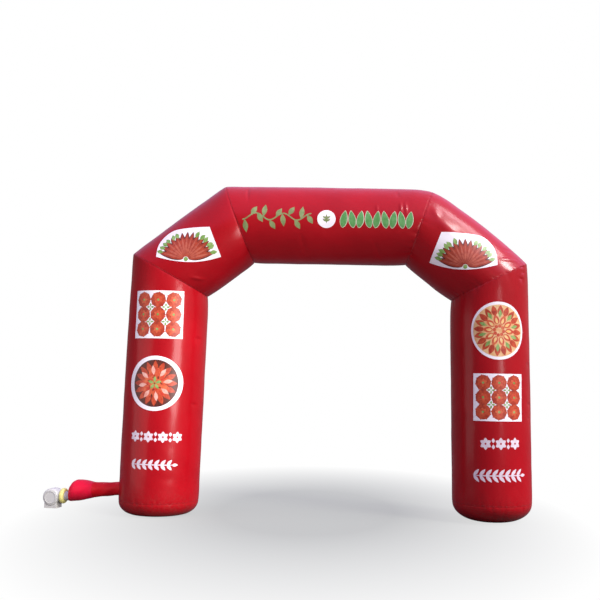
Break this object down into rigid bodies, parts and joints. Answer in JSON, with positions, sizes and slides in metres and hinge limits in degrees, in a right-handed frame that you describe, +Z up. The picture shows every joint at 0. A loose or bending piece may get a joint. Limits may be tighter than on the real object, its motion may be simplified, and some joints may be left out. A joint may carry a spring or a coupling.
{
  "type": "inflatable arch with its blower",
  "caption": "Freestanding inflatable advertising arch sewn from red coated cloth, with blank-design printed panels, an inflation sleeve and a small blower.",
  "frame": {"origin": "on the ground, in the middle of the bounding box of the arch and its blower together; the arch's own middle is at x = 0.464", "axes": "+X along the span, from the blower's side to the other leg; -Y towards the printed front; +Z up"},
  "size_m": [5.4857, 0.9066, 3.6915],
  "materials": {
    "cloth_red": "semi-gloss coated nylon",
    "sleeve_cloth": "thinner coated cloth, pinker red",
    "print_ground": "white printed banner cloth",
    "print_inks": "printed inks, orange, brown-red, cream and green",
    "blower_shell": "cream moulded plastic",
    "blower_yellow": "yellow moulded plastic",
    "blower_dark": "black moulded plastic"
  },
  "bodies": {
    "root": {"leg_left": "cloth_red", "corner_left": "cloth_red", "beam": "cloth_red", "corner_right": "cloth_red", "leg_right": "cloth_red", "base_left": "cloth_red", "base_right": "cloth_red", "sleeve_neck": "sleeve_cloth", "sleeve_end": "sleeve_cloth", "square_print_left": "print_ground", "square_print_right": "print_ground", "bowl_print": "print_ground", "plate_print": "print_ground", "beam_disc": "print_ground", "corner_print_left": "print_ground", "corner_print_right": "print_ground", "blower_housing": "blower_shell", "blower_collar": "blower_yellow", "blower_spout": "blower_dark", "blower_inlet": "blower_dark"}
  },
  "joints": []
}
